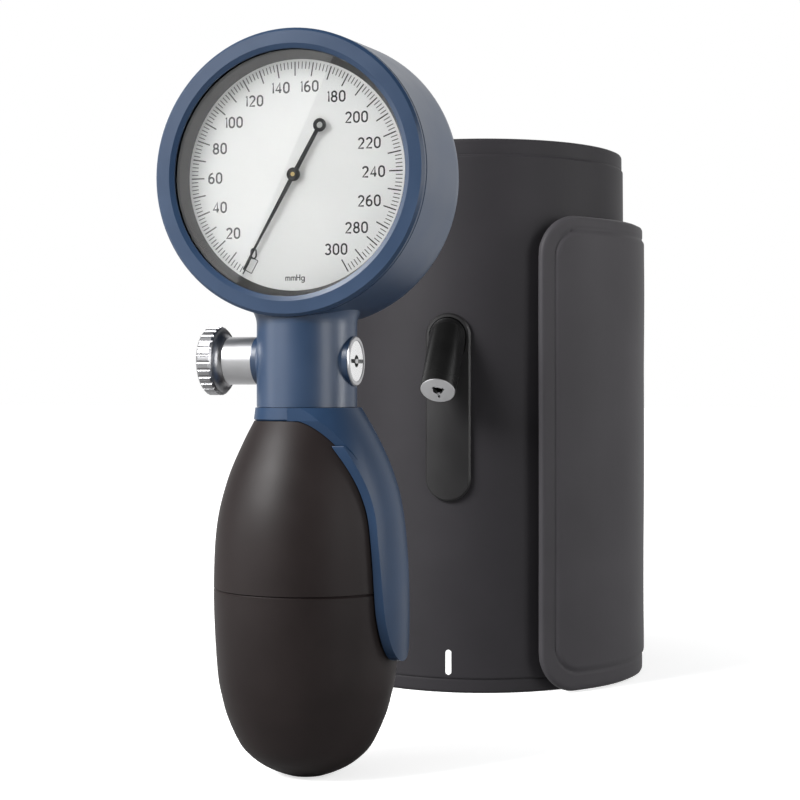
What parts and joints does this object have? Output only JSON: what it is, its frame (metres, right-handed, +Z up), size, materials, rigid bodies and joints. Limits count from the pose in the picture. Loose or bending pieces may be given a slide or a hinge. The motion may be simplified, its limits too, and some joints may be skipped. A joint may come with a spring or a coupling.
{
  "type": "aneroid sphygmomanometer",
  "caption": "Palm-held aneroid blood pressure gauge: round dial head on a squeeze bulb with a swivel grip lever, knurled release valve and side port, beside its rolled arm cuff.",
  "frame": {"origin": "centre of the bulb's foot, on the surface that the gauge and the cuff stand on", "axes": "+Z up the bulb, neck and dial head; the dial faces -Y; the port points to +X and the release valve to -X; the cuff stands behind, its axis at y = 137 mm"},
  "size_m": [0.0894, 0.2039, 0.1561],
  "materials": {
    "blue_shell": "satin moulded plastic",
    "blue_bezel": "satin moulded plastic",
    "blue_lever": "satin moulded plastic",
    "black_rubber": "matt",
    "bulb_rubber": "matt, very dark brown",
    "clear_lens": "clear, polished",
    "black_satin": "satin",
    "white_dial": "matt print on white",
    "black_pointer": "matt",
    "brass": "machined",
    "bronze": "pressed",
    "steel": "machined",
    "chrome": "satin chrome, turned",
    "knurled_chrome": "splined, satin",
    "polished_face": "polished",
    "satin_steel": "satin",
    "cuff_fabric": "coated nylon, fine weave",
    "cuff_lining": "coated nylon, smooth",
    "loop_pile": "short loop pile",
    "hook_tape": "hook tape",
    "black_plastic": "satin",
    "black_gloss": "gloss"
  },
  "bodies": {
    "handset": {"gauge_case": "blue_shell", "bezel_ring": "blue_bezel", "lens_gasket": "black_rubber", "lens": "clear_lens", "dial_spacer": "black_satin", "dial_plate": "white_dial", "movement_front_plate": "brass", "movement_base_plate": "brass", "movement_pillars": "brass", "pillar_screws": "steel", "post_screws": "steel", "hairspring": "steel", "pressure_capsule": "bronze", "bulb": "bulb_rubber", "inlet_valve_body": "brass", "inlet_filter": "steel", "outlet_valve_seat": "brass", "valve_barrel": "chrome", "valve_seat": "black_rubber", "valve_washer": "black_rubber", "port_ring": "chrome", "port_insert": "polished_face", "port_stem": "chrome"},
    "pointer": {"pointer": "black_pointer", "pointer_hub": "black_pointer", "pinion_arbor": "brass"},
    "sector": {"sector_gear": "brass"},
    "rocker": {"rocking_shaft": "brass"},
    "capsule_boss": {"capsule_boss": "brass"},
    "inlet_disc": {"inlet_valve_disc": "black_rubber"},
    "outlet_disc": {"outlet_valve_disc": "black_rubber"},
    "grip_lever": {"grip_lever": "blue_lever"},
    "valve_knob": {"valve_knob": "knurled_chrome"},
    "valve_needle": {"valve_needle": "steel"},
    "cuff": {"cuff_cover": "cuff_fabric", "cuff_lining": "cuff_lining", "bladder": "black_rubber", "loop_patch": "loop_pile", "port_plate": "black_plastic", "port_elbow": "black_gloss", "connector_face": "satin_steel", "connector_seal": "black_rubber"},
    "flap": {"cuff_flap": "cuff_fabric", "hook_patch": "hook_tape"}
  },
  "joints": [
    {"name": "pointer_turn", "type": "hinge", "parent": "handset", "child": "pointer", "pos_m": [0, -0.0074, 0.1254], "axis": [0, 1, 0], "range_deg": [0, 300], "stiffness_Nm_per_rad": 0.000002, "springref_deg": -57.3},
    {"name": "sector_turn", "type": "hinge", "parent": "handset", "child": "sector", "pos_m": [0.01484, -0.00318, 0.1189], "axis": [0, 1, 0], "range_deg": [-24.01, 0]},
    {"name": "rocker_turn", "type": "hinge", "parent": "handset", "child": "rocker", "pos_m": [0, 0.0034, 0.1194], "axis": [1, 0, 0], "range_deg": [0, 15.29]},
    {"name": "capsule_stroke", "type": "slide", "parent": "handset", "child": "capsule_boss", "axis": [0, -1, 0], "range_m": [0, 0.0016]},
    {"name": "inlet_valve_lift", "type": "slide", "parent": "handset", "child": "inlet_disc", "axis": [0, 0, 1], "range_m": [0, 0.0008]},
    {"name": "outlet_valve_lift", "type": "slide", "parent": "handset", "child": "outlet_disc", "axis": [0, 0, 1], "range_m": [0, 0.0008]},
    {"name": "lever_swivel", "type": "hinge", "parent": "handset", "child": "grip_lever", "pos_m": [0, 0, 0.076], "axis": [0, 0, 1], "range_deg": [-180, 0]},
    {"name": "valve_knob_turn", "type": "hinge", "parent": "handset", "child": "valve_knob", "pos_m": [-0.02, 0, 0.087], "axis": [-1, 0, 0], "range_deg": [0, 540]},
    {"name": "valve_needle_lift", "type": "slide", "parent": "handset", "child": "valve_needle", "axis": [-1, 0, 0], "range_m": [0, 0.0011]},
    {"name": "cuff_lift", "type": "slide", "parent": "handset", "child": "cuff", "axis": [0, 0, 1], "range_m": [0, 0.16]},
    {"name": "flap_peel", "type": "hinge", "parent": "cuff", "child": "flap", "pos_m": [0.0414, 0.1609, 0.063], "axis": [0, 0, 1], "range_deg": [0, 75]}
  ],
  "couplings": [
    {"joint": "sector_turn", "follows": "pointer_turn", "ratio": -0.08},
    {"joint": "rocker_turn", "follows": "pointer_turn", "ratio": 0.05093},
    {"joint": "capsule_stroke", "follows": "pointer_turn", "m_per_rad": 0.00030558},
    {"joint": "valve_needle_lift", "follows": "valve_knob_turn", "m_per_rad": 0.00011671}
  ]
}
